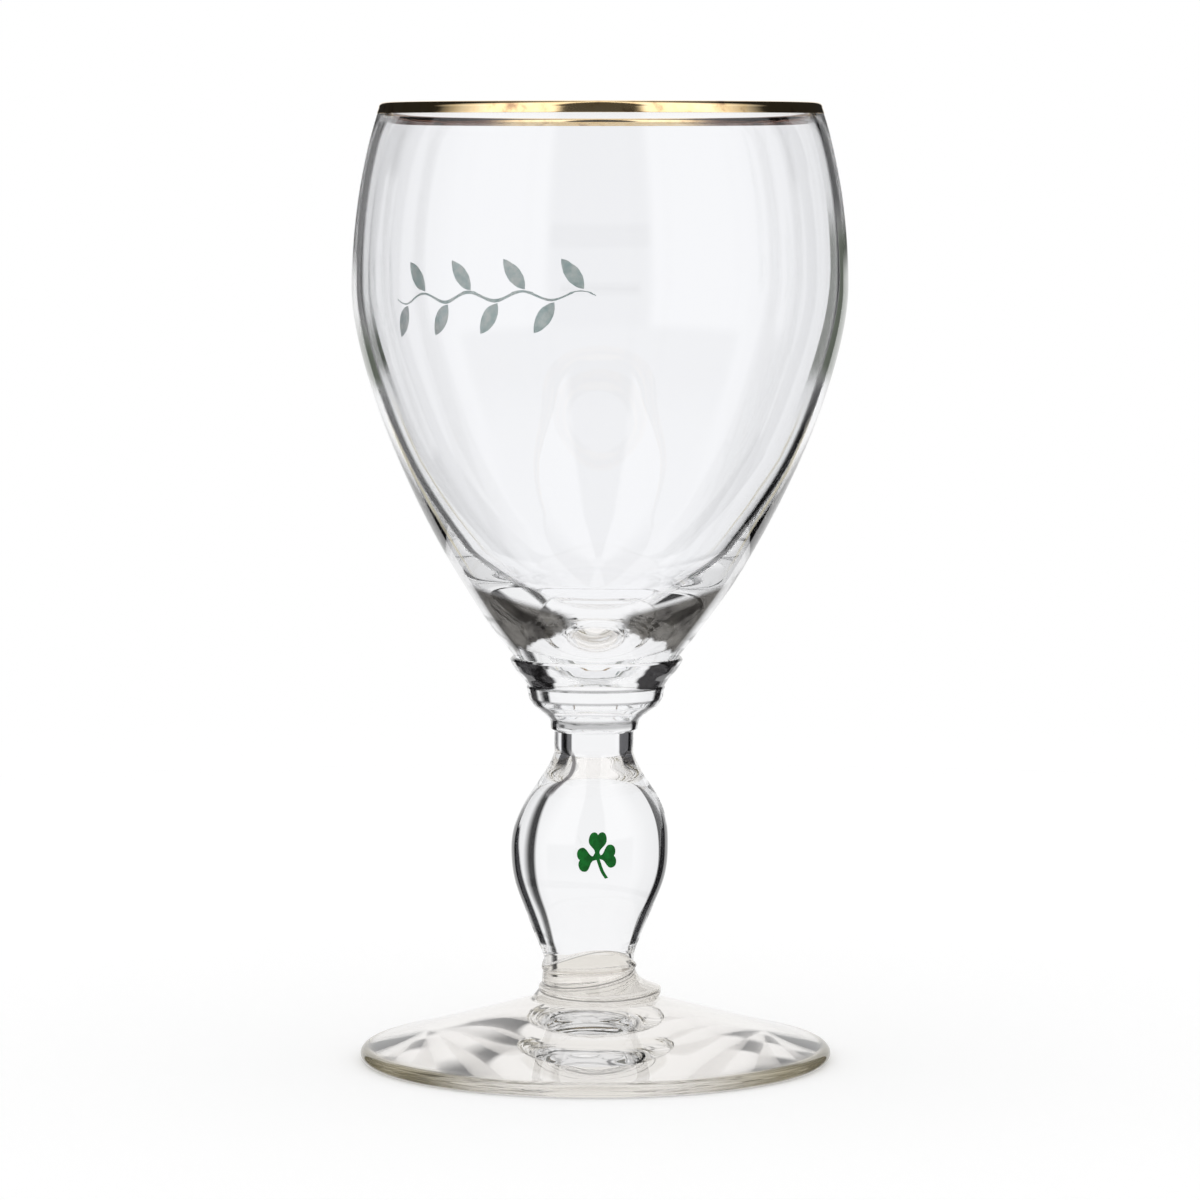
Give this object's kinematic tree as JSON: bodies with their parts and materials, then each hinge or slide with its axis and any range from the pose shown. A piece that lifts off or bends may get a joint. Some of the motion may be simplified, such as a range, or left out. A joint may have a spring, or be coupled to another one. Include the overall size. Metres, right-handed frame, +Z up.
{
  "type": "whisky goblet",
  "caption": "Stemmed glass goblet with a tulip bowl, stepped collar, knopped stem and wide round foot, with a gilded lip and enamel leaf prints; holds a hot or cold whisky drink.",
  "frame": {"origin": "centre of the foot's resting ring, on the plane it stands on", "axes": "+Z up along the stem and bowl; -Y is the front, which the clover faces; +X is to the right from the front"},
  "size_m": [0.0724, 0.0725, 0.1403],
  "materials": {
    "clear_glass": "polished clear soda-lime glass",
    "fired_gold": "bright fired gold, slightly worn at its lower edge",
    "green_enamel": "gloss fired enamel",
    "grey_enamel": "semi-gloss fired enamel"
  },
  "bodies": {
    "root": {"bowl": "clear_glass", "collar": "clear_glass", "stem": "clear_glass", "stem_joint": "clear_glass", "foot": "clear_glass", "gold_rim": "fired_gold", "clover": "green_enamel", "vine": "grey_enamel", "leaf_1": "grey_enamel", "leaf_2": "grey_enamel", "leaf_3": "grey_enamel", "leaf_4": "grey_enamel", "leaf_5": "grey_enamel", "leaf_6": "grey_enamel", "leaf_7": "grey_enamel", "leaf_8": "grey_enamel"}
  },
  "joints": []
}
